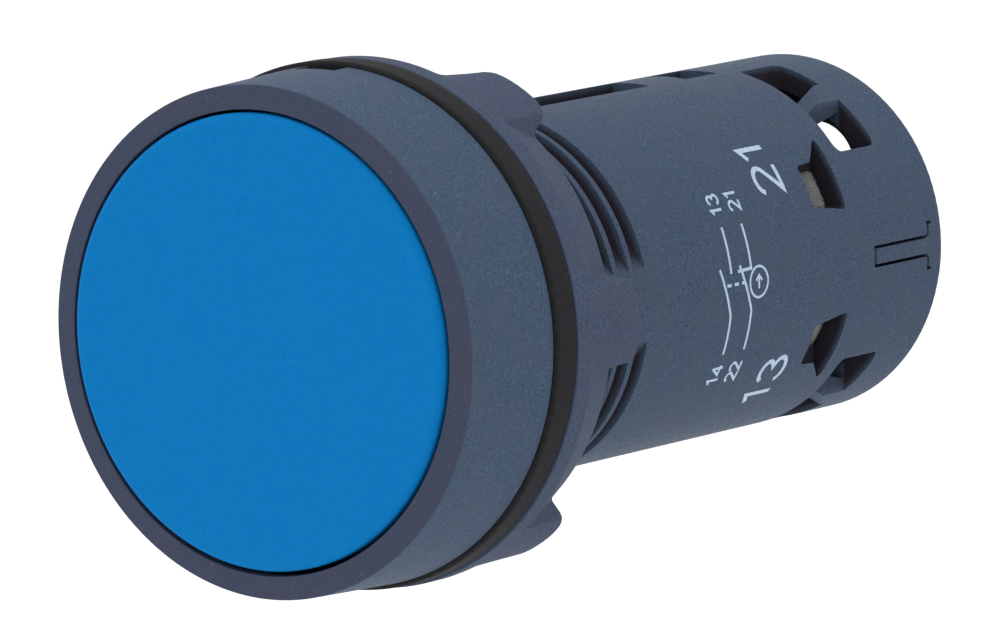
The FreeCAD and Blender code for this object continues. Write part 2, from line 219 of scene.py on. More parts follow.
class Finish:
    """A node material under construction, with short calls for its nodes."""

    def __init__(self, name, roughness, specular=0.5, metallic=0.0):
        self.material = bpy.data.materials.new(name)
        self.material.use_nodes = True
        self.tree = self.material.node_tree
        self.shader = self.tree.nodes["Principled BSDF"]
        self.shader.inputs["Roughness"].default_value = roughness
        self.shader.inputs["Specular IOR Level"].default_value = specular
        self.shader.inputs["Metallic"].default_value = metallic
        self.place = self.node("ShaderNodeTexCoord").outputs["Object"]

    def node(self, kind, **settings):
        made = self.tree.nodes.new(kind)
        for key, value in settings.items():
            setattr(made, key, value)
        return made

    def link(self, a, b):
        self.tree.links.new(a, b)

    def noise(self, grain_mm, detail=2.0, stretch=(1, 1, 1), rough=0.5):
        """Soft noise whose spots are about grain_mm across."""
        place = self.node("ShaderNodeMapping")
        place.inputs["Scale"].default_value = stretch
        self.link(self.place, place.inputs["Vector"])
        made = self.node("ShaderNodeTexNoise")
        made.inputs["Scale"].default_value = 1000.0 / grain_mm
        made.inputs["Detail"].default_value = detail
        made.inputs["Roughness"].default_value = rough
        self.link(place.outputs["Vector"], made.inputs["Vector"])
        return made.outputs["Fac"]

    def specks(self, cell_mm, size):
        """Round specks, one to a cell, that fade out towards their rims."""
        made = self.node("ShaderNodeTexVoronoi")
        made.inputs["Scale"].default_value = 1000.0 / cell_mm
        self.link(self.place, made.inputs["Vector"])
        return self.ramp(made.outputs["Distance"], 0.0, size, 1.0, 0.0)

    def ramp(self, value, low, high, out_low=0.0, out_high=1.0):
        made = self.node("ShaderNodeMapRange")
        made.inputs["From Min"].default_value = low
        made.inputs["From Max"].default_value = high
        made.inputs["To Min"].default_value = out_low
        made.inputs["To Max"].default_value = out_high
        self.link(value, made.inputs["Value"])
        return made.outputs["Result"]

    def math(self, operation, a, b):
        made = self.node("ShaderNodeMath", operation=operation)
        for value, socket in zip((a, b), made.inputs):
            if isinstance(value, (int, float)):
                socket.default_value = value
            else:
                self.link(value, socket)
        return made.outputs["Value"]

    def mix(self, amount, a, b):
        """Colour a where amount is 0 and b where it is 1."""
        made = self.node("ShaderNodeMix", data_type="RGBA")
        if isinstance(amount, float):
            made.inputs["Factor"].default_value = amount
        else:
            self.link(amount, made.inputs["Factor"])
        for value, socket in ((a, made.inputs[6]), (b, made.inputs[7])):
            if isinstance(value, bpy.types.NodeSocket):
                self.link(value, socket)
            else:
                socket.default_value = (*value, 1.0)
        return made.outputs[2]

    def coordinate(self, axis):
        split = self.node("ShaderNodeSeparateXYZ")
        self.link(self.place, split.inputs["Vector"])
        return split.outputs[axis]

    def radius(self):
        """Distance from the button's axis, in metres."""
        x, z = self.coordinate("X"), self.coordinate("Z")
        squares = self.math("ADD", self.math("MULTIPLY", x, x), self.math("MULTIPLY", z, z))
        return self.math("SQRT", squares, 0.0)

    def colour(self, value):
        self.link(value, self.shader.inputs["Base Color"])

    def roughness(self, value):
        self.link(value, self.shader.inputs["Roughness"])

    def bump(self, height, depth_mm, strength=1.0):
        made = self.node("ShaderNodeBump")
        made.inputs["Strength"].default_value = strength
        made.inputs["Distance"].default_value = depth_mm * MM
        self.link(height, made.inputs["Height"])
        self.link(made.outputs["Normal"], self.shader.inputs["Normal"])


def scaled(colour, factor):
    return tuple(min(1.0, c * factor) for c in colour)


def tinted(colour, red, green, blue):
    return (colour[0] * red, colour[1] * green, colour[2] * blue)


def grained(finish, colour, contrast=0.2):
    """Colour of a spark-eroded moulding: fine grain, faint clouding and small pale specks."""
    fine = finish.ramp(finish.noise(0.14, 3.0), 0.38, 0.62)
    body = finish.mix(fine, scaled(colour, 1 - contrast), scaled(colour, 1 + contrast))
    coarse = finish.ramp(finish.noise(0.5, 2.0), 0.4, 0.6, 0.0, 0.5)
    body = finish.mix(coarse, body, tinted(colour, 0.86, 0.93, 0.97))
    cloud = finish.ramp(finish.noise(2.6, 3.0), 0.35, 0.65, 0.0, 0.5)
    body = finish.mix(cloud, body, tinted(colour, 1.18, 0.95, 0.95))
    gate = finish.ramp(finish.noise(0.9), 0.47, 0.62, 0.0, 0.55)
    specks = finish.math("MULTIPLY", finish.specks(0.6, 0.2), gate)
    return finish.mix(specks, body, scaled(colour, 2.2))


def slate_plastic(name, colour, roughness, painted_recess_shade=None, ring_y=None, ring_colour=None):
    """Fine grained slate grey moulding. The fourth argument, when given, is (y0, y1, surface
    radius, shade colour): between y0 and y1 everything sunk below the surface gets a painted
    shade in that colour, standing for the shadow in grooves and slots, struts excepted.
    ring_y is where a darker front face begins."""
    finish = Finish(name, roughness, specular=0.015)
    body = grained(finish, colour, 0.27)
    if ring_y is not None:
        front = finish.ramp(finish.coordinate("Y"), (ring_y + 0.12) * MM, (ring_y - 0.02) * MM)
        body = finish.mix(front, body, grained(finish, ring_colour, 0.12))
    # Painted shade: below the barrel's surface the colour goes to the shade colour, standing for
    # the shadow in grooves, slots and windows
    if painted_recess_shade is not None:
        y0, y1, surface, shade = painted_recess_shade
        sunk = finish.ramp(finish.radius(), (surface - 0.02) * MM, (surface - 0.4) * MM)
        start = finish.ramp(finish.coordinate("Y"), y0 * MM, (y0 + 0.05) * MM)
        end = finish.ramp(finish.coordinate("Y"), y1 * MM, (y1 - 0.3) * MM)
        amount = finish.math("MULTIPLY", finish.math("MULTIPLY", start, end), sunk)
        amount = finish.math("MULTIPLY", amount, off_struts(finish))
        body = finish.mix(amount, body, shade)
    finish.colour(body)
    finish.roughness(finish.ramp(finish.noise(0.25), 0.3, 0.7, roughness - 0.07, roughness + 0.07))
    finish.bump(finish.noise(0.13, 3.0), 0.02, 0.55)
    return finish.material


def off_struts(finish):
    """Mask of the painted recess shade: 0 on the struts that cross the rear slots and on the floor
    of the key groove, which lie in the light, and 1 elsewhere."""
    x = finish.math("ABSOLUTE", finish.coordinate("X"), 0.0)
    middle = finish.math("SUBTRACT", x, STRUT_MIDDLE_X * MM)
    from_middle = finish.math("ABSOLUTE", middle, 0.0)
    beside = finish.ramp(
        from_middle, (STRUT_HALF_WIDTH - 0.04) * MM, (STRUT_HALF_WIDTH + 0.06) * MM)
    ahead = finish.ramp(
        finish.coordinate("Y"), SLOT_FRONT_Y * MM, (SLOT_FRONT_Y - 0.1) * MM)
    beside_key = finish.ramp(x, (KEY_HALF_WIDTH - 0.03) * MM, (KEY_HALF_WIDTH + 0.03) * MM)
    below_key = finish.ramp(
        finish.coordinate("Z"), (KEY_FLOOR_Z + 0.05) * MM, (KEY_FLOOR_Z - 0.05) * MM)
    return finish.math(
        "MULTIPLY", finish.math("MAXIMUM", beside, ahead),
        finish.math("MAXIMUM", beside_key, below_key))


def satin_blue(name, colour, roughness):
    """Smooth blue moulding with an orange-peel skin too fine to see as bumps."""
    finish = Finish(name, roughness, specular=0.03)
    fine = finish.ramp(finish.noise(0.12, 3.0), 0.38, 0.62)
    body = finish.mix(fine, scaled(colour, 0.9), scaled(colour, 1.1))
    coarse = finish.ramp(finish.noise(0.45, 2.0), 0.4, 0.6, 0.0, 0.4)
    body = finish.mix(coarse, body, tinted(colour, 3.0, 1.06, 1.03))
    cloud = finish.ramp(finish.noise(3.5, 2.0), 0.35, 0.65, 0.0, 0.5)
    body = finish.mix(cloud, body, tinted(colour, 1.6, 1.03, 1.0))
    finish.colour(body)
    finish.roughness(finish.ramp(finish.noise(0.4), 0.3, 0.7, roughness - 0.05, roughness + 0.05))
    finish.bump(finish.noise(0.2, 2.0), 0.008, 0.5)
    return finish.material


def dull_rubber(name, colour):
    """Pressed rubber: dusty, very rough, with a faint mould texture."""
    finish = Finish(name, 0.85, specular=0.2)
    fine = finish.ramp(finish.noise(0.3, 3.0), 0.3, 0.7)
    body = finish.mix(fine, scaled(colour, 0.75), scaled(colour, 1.3))
    finish.colour(body)
    finish.bump(finish.noise(0.25, 3.0), 0.02, 0.5)
    return finish.material


def rolled_metal(name, colour, grain_along, roughness, dull, metallic=1.0):
    """Rolled or plated strip: fine streaks along one axis and a patchy dull film."""
    finish = Finish(name, roughness, metallic=metallic, specular=0.5)
    stretch = [1.0, 1.0, 1.0]
    stretch["XYZ".index(grain_along)] = 0.06
    streaks = finish.noise(0.06, 2.0, stretch)
    body = finish.mix(finish.ramp(streaks, 0.3, 0.7), scaled(colour, 0.86), scaled(colour, 1.08))
    film = finish.ramp(finish.noise(0.9, 3.0), 0.45, 0.62, 0.0, 0.6)
    body = finish.mix(film, body, dull)
    finish.colour(body)
    finish.roughness(finish.ramp(streaks, 0.3, 0.7, roughness - 0.08, roughness + 0.12))
    finish.bump(streaks, 0.004, 0.6)
    return finish.material


def marking_ink(name, colour):
    """Thin pale ink, slightly uneven where it lies on the grain of the moulding."""
    finish = Finish(name, 0.6, specular=0.3)
    uneven = finish.ramp(finish.noise(0.14, 2.0), 0.35, 0.7)
    finish.colour(finish.mix(uneven, scaled(colour, 0.74), colour))
    finish.bump(finish.noise(0.13, 3.0), 0.01, 0.4)
    return finish.material


def pale_floor(name, colour):
    """Plain pale board with a barely visible tooth."""
    finish = Finish(name, 0.9, specular=0.0)
    finish.colour(finish.mix(finish.noise(40.0, 2.0), scaled(colour, 0.985), colour))
    return finish.material


# ---------------------------------------------------------------- printing

# Marks lie on the barrel as (y, angle) in millimetres and degrees. Figures read towards
# rising angle, with their tops towards the front.


def arc(cx, cy, rx, ry, start, end, steps=14):
    """Points of an elliptical arc, angles in degrees anticlockwise from the right."""
    a = np.radians(np.linspace(start, end, steps))
    return np.stack([cx + rx * np.cos(a), cy + ry * np.sin(a)], -1)


def figure_strokes(figure):
    """Strokes of a numeral one unit high and about 0.56 wide, as (right, up) points."""
    if figure == "1":
        return [np.array([[0.10, 0.80], [0.34, 1.0], [0.34, 0.0]])]
    if figure == "2":
        bowl = arc(0.29, 0.73, 0.27, 0.27, 170, -35)
        return [np.vstack([bowl, [[0.03, 0.0], [0.58, 0.0]]])]
    if figure == "3":
        top = arc(0.27, 0.76, 0.24, 0.24, 165, -90)
        low = arc(0.27, 0.27, 0.29, 0.27, 90, -165)
        return [np.vstack([top, low[1:]])]
    if figure == "4":
        return [np.array([[0.46, 0.0], [0.46, 1.0], [0.0, 0.28], [0.62, 0.28]])]
    raise ValueError("no strokes for " + figure)


def ribbon(path, width, lift, radius):
    """A flat stroke wrapped on the barrel. The path in (arc length, y) is offset by half the
    width to each side, with mitred corners, and rolled on to the radius; a second layer just
    below closes it into a thin slab."""
    step = np.diff(path, axis=0)
    step /= np.linalg.norm(step, axis=1, keepdims=True)
    side = np.stack([-step[:, 1], step[:, 0]], -1)
    first = np.vstack([side[:1], side])
    second = np.vstack([side, side[-1:]])
    mitre = first + second
    mitre /= np.maximum(np.sum(mitre * first, axis=1, keepdims=True), 0.35)
    edges = np.stack([path + mitre * width / 2, path - mitre * width / 2], 1)
    layers = []
    for r in (radius + lift, radius - 0.03):
        angle = edges[..., 0] / radius
        layers.append(np.stack([r * np.cos(angle), edges[..., 1], r * np.sin(angle)], -1))
    loop = np.stack([layers[0][:, 0], layers[0][:, 1], layers[1][:, 1], layers[1][:, 0]], 1)
    count = len(path)
    faces = grid_faces(count, 4, False, True).tolist()
    last = (count - 1) * 4
    faces.append([0, 1, 2, 3])
    faces.append([last + 3, last + 2, last + 1, last])
    return loop.reshape(-1, 3), outward(loop.reshape(-1, 3), faces)


def divided(path, longest=0.35):
    """The same path with its long runs divided, so that it can follow the barrel."""
    parts = []
    for a, b in zip(path[:-1], path[1:]):
        pieces = max(1, int(math.ceil(np.linalg.norm(b - a) / longest)))
        share = np.linspace(0, 1, pieces, endpoint=False)[:, None]
        parts.append(a + (b - a) * share)
    return np.vstack(parts + [path[-1:]])


def number_paths(text, height, y_top, angle, radius, spacing=0.72, widen=1.0):
    """Strokes of a number whose top is at y_top and whose middle is at the angle."""
    width = spacing * height
    start = math.radians(angle) * radius - width * (len(text) - 0.22) / 2
    paths = []
    for place, figure in enumerate(text):
        for stroke in figure_strokes(figure):
            right = start + place * width + stroke[:, 0] * height * widen
            paths.append(np.stack([right, y_top + (1 - stroke[:, 1]) * height], -1))
    return paths


def line_path(points, radius):
    return np.array([[math.radians(a) * radius, y] for y, a in points])


def joined(parts):
    """Several surfaces as one."""
    points, faces, base = [], [], 0
    for these, those in parts:
        points.append(these)
        faces.extend([[i + base for i in f] for f in those])
        base += len(these)
    return np.vstack(points), faces


# ---------------------------------------------------------------- settings


class ButtonSizes(bpy.types.PropertyGroup):
    """Sizes of the new pieces that the frame does not fix"""

    cap_gap: FloatProperty(
        name="Cap gap", description="Radial gap between the cap and the bezel",
        default=0.00022, min=0.0001, max=0.001, precision=5, unit="LENGTH")
    cap_edge: FloatProperty(
        name="Cap edge", description="Radius of the cap's rounded front edge",
        default=0.00045, min=0.00005, max=0.001, precision=5, unit="LENGTH")
    cap_crown: FloatProperty(
        name="Cap crown", description="Rise of the cap's middle above its edge",
        default=0.0, min=0.0, max=0.001, precision=5, unit="LENGTH")
    bezel_edge: FloatProperty(
        name="Bezel edge", description="Radius of the bezel's outer front edge",
        default=0.0001, min=0.00005, max=0.001, precision=5, unit="LENGTH")
    bezel_lip: FloatProperty(
        name="Bezel lip edge", description="Radius of the edge round the cap",
        default=0.00006, min=0.00002, max=0.0005, precision=5, unit="LENGTH")
    lug_count: IntProperty(
        name="Lugs", description="Number of lugs on the fixing nut", default=6, min=3, max=12)
    lug_turn: FloatProperty(
        name="Lug turn", description="Angle of the first lug from the +X side",
        default=math.radians(1.7), unit="ROTATION")
    lug_width: FloatProperty(
        name="Lug width", description="Width of a lug half way up its flanks",
        default=0.0055, min=0.001, max=0.01, precision=5, unit="LENGTH")
    lug_ease: FloatProperty(
        name="Lug flank", description="Width over which a lug's flank runs into the cone",
        default=0.0006, min=0.0002, max=0.005, precision=5, unit="LENGTH")
    lug_corner: FloatProperty(
        name="Lug corner", description="Radius of the rear corners of a lug",
        default=0.0011, min=0.0002, max=0.002, precision=5, unit="LENGTH")
    lug_crown: FloatProperty(
        name="Lug crown", description="Drop of a lug's top from its middle to its flanks",
        default=0.0004, min=0.0, max=0.001, precision=5, unit="LENGTH")
    fine_line: FloatProperty(
        name="Line width", description="Width of the thin printed lines",
        default=0.00019, min=0.0001, max=0.001, precision=5, unit="LENGTH")
    bold_line: FloatProperty(
        name="Number width", description="Width of the strokes of the large numbers",
        default=0.00032, min=0.0001, max=0.001, precision=5, unit="LENGTH")


class ButtonColours(bpy.types.PropertyGroup):
    """Base colours of the finishes"""

    cap: FloatVectorProperty(
        name="Cap", description="Blue of the cap", subtype="COLOR", size=3, min=0, max=1,
        default=(0.0012, 0.143, 0.400))
    bezel: FloatVectorProperty(
        name="Bezel", description="Slate grey of the bezel", subtype="COLOR", size=3, min=0, max=1,
        default=(0.052, 0.079, 0.122))
    bezel_front: FloatVectorProperty(
        name="Bezel front", description="Darker grey of the bezel's front face", subtype="COLOR",
        size=3, min=0, max=1, default=(0.045, 0.056, 0.090))
    nut: FloatVectorProperty(
        name="Nut", description="Slate grey of the fixing nut", subtype="COLOR", size=3,
        min=0, max=1,
        default=(0.055, 0.072, 0.113))
    barrel: FloatVectorProperty(
        name="Barrel", description="Slate grey of the barrel", subtype="COLOR", size=3,
        min=0, max=1,
        default=(0.050, 0.074, 0.114))
    # Colour of the painted shade in the barrel's thread grooves, slots and windows
    painted_recess_shade: FloatVectorProperty(
        name="Recess", description="Dark shade of the thread grooves and the slots",
        subtype="COLOR", size=3, min=0, max=1, default=(0.024, 0.021, 0.028))
    inner: FloatVectorProperty(
        name="Inner mouldings", description="Black of the inner mouldings", subtype="COLOR", size=3,
        min=0, max=1, default=(0.012, 0.013, 0.016))
    rubber: FloatVectorProperty(
        name="Rubber", description="Black of the gasket and seal", subtype="COLOR", size=3, min=0,
        max=1, default=(0.010, 0.010, 0.012))
    brass: FloatVectorProperty(
        name="Contact strip", description="Colour of the plated contact strips", subtype="COLOR",
        size=3, min=0, max=1, default=(0.93, 0.95, 0.89))
    steel: FloatVectorProperty(
        name="Steel", description="Colour of screws, clamps and springs", subtype="COLOR", size=3,
        min=0, max=1, default=(0.60, 0.61, 0.60))
    ink: FloatVectorProperty(
        name="Ink", description="Pale blue-white of the printing", subtype="COLOR", size=3, min=0,
        max=1, default=(0.42, 0.54, 0.68))


class StudioSettings(bpy.types.PropertyGroup):
    """Place of the camera and strength of the light"""

    azimuth: FloatProperty(
        name="Azimuth", description="Camera angle round the object from the front",
        default=math.radians(35.984), unit="ROTATION")
    elevation: FloatProperty(
        name="Elevation", description="Camera angle above the horizon",
        default=math.radians(8.65), unit="ROTATION")
    lean: FloatProperty(
        name="Lean", description="Turn of the object about its own axis under the camera",
        default=math.radians(-1.2), unit="ROTATION")
    roll: FloatProperty(
        name="Roll", description="Turn of the camera about its line of sight",
        default=math.radians(-0.37), unit="ROTATION")
    distance: FloatProperty(
        name="Distance", description="From the camera to the point that it looks at",
        default=0.575, precision=5, unit="LENGTH")
    aim: FloatVectorProperty(
        name="Aim", description="Point that the camera looks at, before the lean", size=3,
        default=(0.001648, 0.011422, -0.000862), precision=6, unit="LENGTH")
    focal_length: FloatProperty(
        name="Focal length", description="Camera lens, in millimetres", default=351.74)
    daylight: FloatProperty(
        name="Daylight", description="Strength of the white surroundings", default=1.1)
    top_light: FloatProperty(
        name="Top light", description="Power of the soft light above, in watts", default=1.2)
    side_light: FloatProperty(
        name="Side light", description="Power of the soft light at the left, in watts", default=0.5)
    floor_drop: FloatProperty(
        name="Floor drop", description="From the axis down to the floor", default=0.1,
        unit="LENGTH")


def settings():
    scene = bpy.context.scene
    return scene.button_sizes, scene.button_colours, scene.button_studio


# ---------------------------------------------------------------- operators


class BUTTON_OT_cap(bpy.types.Operator):
    """Turn the flush cap, with its skirt and the ring that grips the plunger"""
    bl_idname = "button.cap"
    bl_label = "Cap"

    def execute(self, context):
        sizes, colours, _ = settings()
        low, high = size_of("push_cap")
        radius, front, skirt = high[0], low[1], high[1]
        rise = (low[2] + high[2]) / 2
        inside = front + CAP_FACE_THICK
        wall = radius - CAP_WALL_THICK
        edge, crown = sizes.cap_edge / MM, sizes.cap_crown / MM
        share = np.linspace(0, 0.92, 12)
        face = np.stack([share * radius, front + crown * share ** 2], -1)
        side = rounded(
            [(0.95 * radius, front + crown), (radius, front + crown), (radius, skirt),
             (wall, skirt), (wall, inside), (GRIP_RING_OUTER_R, inside),
             (GRIP_RING_OUTER_R, skirt - 0.1), (GRIP_RING_INNER_R, skirt - 0.1),
             (GRIP_RING_INNER_R, inside), (1.0, inside)],
            [0, edge, 0.1, 0.1, 0.2, 0.1, 0.1, 0.1, 0.1, 0], closed=False, steps=8)
        outline = np.vstack([face, side[1:], [[0, inside]]])
        points, faces = turned_body(outline)
        points = points + np.array([0, 0, rise])
        blue = satin_blue("cap_blue", colours.cap, 0.5)
        add_piece("cap", points, faces, blue, "push", ("push_cap",))
        return {"FINISHED"}


class BUTTON_OT_bezel(bpy.types.Operator):
    """Turn the bezel: a conical side, a narrow front face and a thin lip round the cap"""
    bl_idname = "button.bezel"
    bl_label = "Bezel"

    def execute(self, context):
        sizes, colours, _ = settings()
        low, high = size_of("bezel")
        cap = size_of("push_cap")[1][0]
        bore = cap + sizes.cap_gap / MM
        rear_r, lip_y, rear_y = high[0], low[1], high[1]
        front_y = lip_y + BEZEL_FACE_RISE
        front_r = rear_r - BEZEL_FLARE
        outline = rounded(
            [(bore, lip_y), (front_r, front_y), (rear_r, rear_y), (bore, rear_y)],
            [sizes.bezel_lip / MM, sizes.bezel_edge / MM, 0.12, 0.05], steps=6)
        points, faces = turned_ring(outline, 360)
        slate = slate_plastic(
            "bezel_slate", colours.bezel, 0.5,
            ring_y=front_y, ring_colour=tuple(colours.bezel_front))
        piece = add_piece("bezel_ring", points, faces, slate, "housing", ("bezel",))
        key = key_notch(rear_y, rear_r)
        cut = piece.modifiers.new("key_notch", "BOOLEAN")
        cut.operation = "DIFFERENCE"
        cut.solver = "EXACT"
        cut.object = key
        settle(piece)
        bpy.data.objects.remove(key)
        return {"FINISHED"}


def key_notch(rear_y, rear_r):
    """Block in the place of the notch at the top of the bezel's rear rim."""
    mesh = bpy.data.meshes.new("key_notch")
    half, mid = math.radians(5.5), math.radians(91.5)
    across = np.array([-1.0, 1.0]) * half
    depth = np.array([rear_y - 1.4, rear_y + 1.0])
    radii = np.array([rear_r - 1.0, rear_r + 1.0])
    a, y, r = np.meshgrid(across, depth, radii, indexing="ij")
    points = np.stack([r * np.cos(mid + a), y, r * np.sin(mid + a)], -1).reshape(-1, 3)
    faces = [[0, 1, 3, 2], [4, 6, 7, 5], [0, 4, 5, 1], [2, 3, 7, 6], [0, 2, 6, 4], [1, 5, 7, 3]]
    mesh.from_pydata((points * MM).tolist(), [], outward(points, faces))
    block = bpy.data.objects.new("key_notch", mesh)
    bpy.context.scene.collection.objects.link(block)
    return block


def settle(piece):
    """Replace a piece's mesh by what its modifiers make of it, with sharp edges kept."""
    graph = bpy.context.evaluated_depsgraph_get()
    mesh = bpy.data.meshes.new_from_object(piece.evaluated_get(graph))
    piece.modifiers.clear()
    piece.data = mesh
    mesh.shade_smooth()
    mesh.set_sharp_from_angle(angle=math.radians(35))


class BUTTON_OT_gasket(bpy.types.Operator):
    """Turn the sealing gasket with its bulged rim"""
    bl_idname = "button.gasket"
    bl_label = "Gasket"

    def execute(self, context):
        _, colours, _ = settings()
        low, high = size_of("panel_gasket")
        y0, y1, r = low[1], high[1], high[0]
        outline = rounded(
            [(GASKET_BORE_R, y0), (r, y0), (r, y1), (GASKET_BORE_R, y1)],
            [0.05, 0.25, 0.35, 0.05], steps=6)
        points, faces = turned_ring(outline, 300)
        rubber = dull_rubber("seal_rubber", colours.rubber)
        add_piece("gasket", points, faces, rubber, "housing", ("panel_gasket",))
        cover_node("stem_seal", rubber)
        return {"FINISHED"}


def cover_node(name, material):
    """Give a frame node its finish, and shade its gently curved parts smooth."""
    node = NODES[name]
    node.data.materials.clear()
    node.data.materials.append(material)
    smooth = node.modifiers.new("soft_shading", "NODES")
    smooth.node_group = soft_shading()


def soft_shading():
    """Node group that joins a mesh's loose triangles and keeps only its creases sharp."""
    name = "soft_shading"
    if name in bpy.data.node_groups:
        return bpy.data.node_groups[name]
    group = bpy.data.node_groups.new(name, "GeometryNodeTree")
    group.interface.new_socket("Geometry", in_out="INPUT", socket_type="NodeSocketGeometry")
    group.interface.new_socket("Geometry", in_out="OUTPUT", socket_type="NodeSocketGeometry")
    make = group.nodes.new
    start, end = make("NodeGroupInput"), make("NodeGroupOutput")
    weld = make("GeometryNodeMergeByDistance")
    weld.inputs["Distance"].default_value = 2e-6
    angle = make("GeometryNodeInputMeshEdgeAngle")
    crease = make("FunctionNodeCompare")
    crease.inputs["B"].default_value = math.radians(28)
    faces = make("GeometryNodeSetShadeSmooth")
    edges = make("GeometryNodeSetShadeSmooth")
    edges.domain = "EDGE"
    edges.inputs["Shade Smooth"].default_value = False
    link = group.links.new
    link(start.outputs[0], weld.inputs["Geometry"])
    link(weld.outputs["Geometry"], faces.inputs["Geometry"])
    link(faces.outputs["Geometry"], edges.inputs["Geometry"])
    link(angle.outputs["Unsigned Angle"], crease.inputs["A"])
    link(crease.outputs["Result"], edges.inputs["Selection"])
    link(edges.outputs["Geometry"], end.inputs[0])
    return group


def nut_surface(sizes, bore, rim, rim_y, hub_r, hub_y, lug_y, drop):
    """Half section of the plain cone and half section through a lug, mixed round the axis.
    The share of the lug at angle a is a smooth step of the distance along the rim from the
    nearest lug's middle. The lug's rear corners follow a quarter circle, and its top drops
    with the cube of that distance."""
    plain = rounded(
        [(bore, 0), (rim, 0), (rim, rim_y), (hub_r, hub_y),
         (bore + 0.3, hub_y), (bore, hub_y - 0.3)],
        [0, 0.1, 0.3, 0.3, 0.1, 0], closed=False)
    lugged = rounded(
        [(bore, 0), (rim, 0), (rim, rim_y), (rim, lug_y),
         (NUT_LUG_INNER_R, lug_y), (bore, hub_y - 0.3)],
        [0, 0.1, 0, 0.45, 0.3, 0], closed=False)
    straight = np.array([[rim, rim_y + 0.05 * k] for k in range(9)])
    corner = np.nonzero(np.all(np.isclose(lugged, (rim, rim_y)), axis=1))[0][0]
    lugged = np.vstack([lugged[:corner], straight, lugged[corner + 1:]])
    step = 2 * math.pi / sizes.lug_count
    a = np.linspace(0, 2 * math.pi, 720, endpoint=False)
    from_lug = (a - sizes.lug_turn + step / 2) % step - step / 2
    along = np.abs(from_lug) * rim
    half, ease = sizes.lug_width / MM / 2, sizes.lug_ease / MM
    corner, crown = sizes.lug_corner / MM, sizes.lug_crown / MM
    t = np.clip((half + ease / 2 - along) / ease, 0, 1)
    share = (t * t * (3 - 2 * t))[:, None]
    past = np.clip(along - (half - corner), 0, corner)
    cut_back = (corner - np.sqrt(corner ** 2 - past ** 2))[:, None]
    behind = np.clip((lugged[:, 1] - rim_y) / (lug_y - rim_y), 0, 1)[None, :]
    dip = (crown * np.clip(along / half, 0, 1) ** 3)[:, None] * np.clip(behind * 6, 0, 1)
    r = plain[:, 0] * (1 - share) + (lugged[:, 0] - dip) * share
    y = plain[:, 1] * (1 - share) + (lugged[:, 1] - behind * cut_back) * share
    sink = drop * np.clip(r - bore, 0, 1)
    points = np.stack([r * np.cos(a)[:, None], y, r * np.sin(a)[:, None] - sink], -1)
    return points.reshape(-1, 3), grid_faces(len(a), len(plain), True, True).tolist()


class BUTTON_OT_nut(bpy.types.Operator):
    """Form the fixing nut: a shallow cone with six lugs that grow smoothly out of it"""
    bl_idname = "button.nut"
    bl_label = "Fixing nut"

    def execute(self, context):
        sizes, colours, _ = settings()
        low, high = size_of("fixing_nut")
        rim = (high[0] - low[0]) / 2
        drop = -(low[2] + high[2]) / 2
        points, faces = nut_surface(
            sizes, NUT_BORE_R, rim, NUT_RIM_Y, NUT_HUB_R, NUT_HUB_Y, high[1], drop)
        slate = slate_plastic("nut_slate", colours.nut, 0.6)
        add_piece("nut", points, faces, slate, "nut", ("fixing_nut",))
        return {"FINISHED"}


class BUTTON_OT_housing(bpy.types.Operator):
    """Finish the barrel, with painted shade in its grooves and slots, and the rear cover"""
    bl_idname = "button.housing"
    bl_label = "Barrel and cover"

    def execute(self, context):
        _, colours, _ = settings()
        # The barrel gets a painted shade in its grooves, slots and windows
        slate = slate_plastic(
            "barrel_slate", colours.barrel, 0.48,
            painted_recess_shade=(0.0, PAINTED_SHADE_END_Y, BARREL_R, tuple(colours.painted_recess_shade)))
        cover_node("barrel", slate)
        cover_node("rear_cover", slate_plastic("cover_slate", colours.barrel, 0.48))
        return {"FINISHED"}


class BUTTON_OT_inner(bpy.types.Operator):
    """Finish the plunger, the contact carrier and the contact block"""
    bl_idname = "button.inner"
    bl_label = "Inner mouldings"

    def execute(self, context):
        _, colours, _ = settings()
        black = slate_plastic("inner_black", colours.inner, 0.45)
        for name in ("plunger", "contact_carrier", "contact_block"):
            cover_node(name, black)
        return {"FINISHED"}


class BUTTON_OT_metal(bpy.types.Operator):
    """Finish the contact strips, the clamp plates and the terminal screws"""
    bl_idname = "button.metal"
    bl_label = "Metal parts"

    def execute(self, context):
        _, colours, _ = settings()
        strip = rolled_metal("contact_strip", colours.brass, "X", 0.45, (0.84, 0.87, 0.80), 0.1)
        steel = rolled_metal("clamp_steel", colours.steel, "Z", 0.34, (0.40, 0.41, 0.40))
        for name in NODES:
            if name.startswith("terminal_") or name.endswith("_bridge"):
                cover_node(name, strip)
            elif name.startswith(("clamp_", "screw_")):
                cover_node(name, steel)
        return {"FINISHED"}


class BUTTON_OT_springs(bpy.types.Operator):
    """Wind the return spring and the two contact springs"""
    bl_idname = "button.springs"
    bl_label = "Springs"

    def execute(self, context):
        _, colours, _ = settings()
        wire = rolled_metal("spring_steel", colours.steel, "Y", 0.3, (0.45, 0.46, 0.46))
        # node, body, joint, wire radius, turns, held at the rear, share of length kept
        springs = (
            ("return_spring", "housing", "push", 0.4, 7.5, True, 0.713),
            ("nc_spring", "housing", "nc_open", 0.18, 7.5, True, 0.481),
            ("no_spring", "push", "push", 0.15, 5.5, False, 0.433),
        )
        for node, body, joint, thick, turns, rear_held, keep in springs:
            low, high = size_of(node)
            centre = (low + high) / 2
            radius = (high[0] - low[0]) / 2 - thick
            points, faces = coil_tube(
                radius, thick, turns, low[1], high[1], (centre[0], centre[2]))
            coil = node.replace("_spring", "_coil")
            piece = add_piece(coil, points, faces, wire, body, (node,))
            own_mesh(piece)
        return {"FINISHED"}


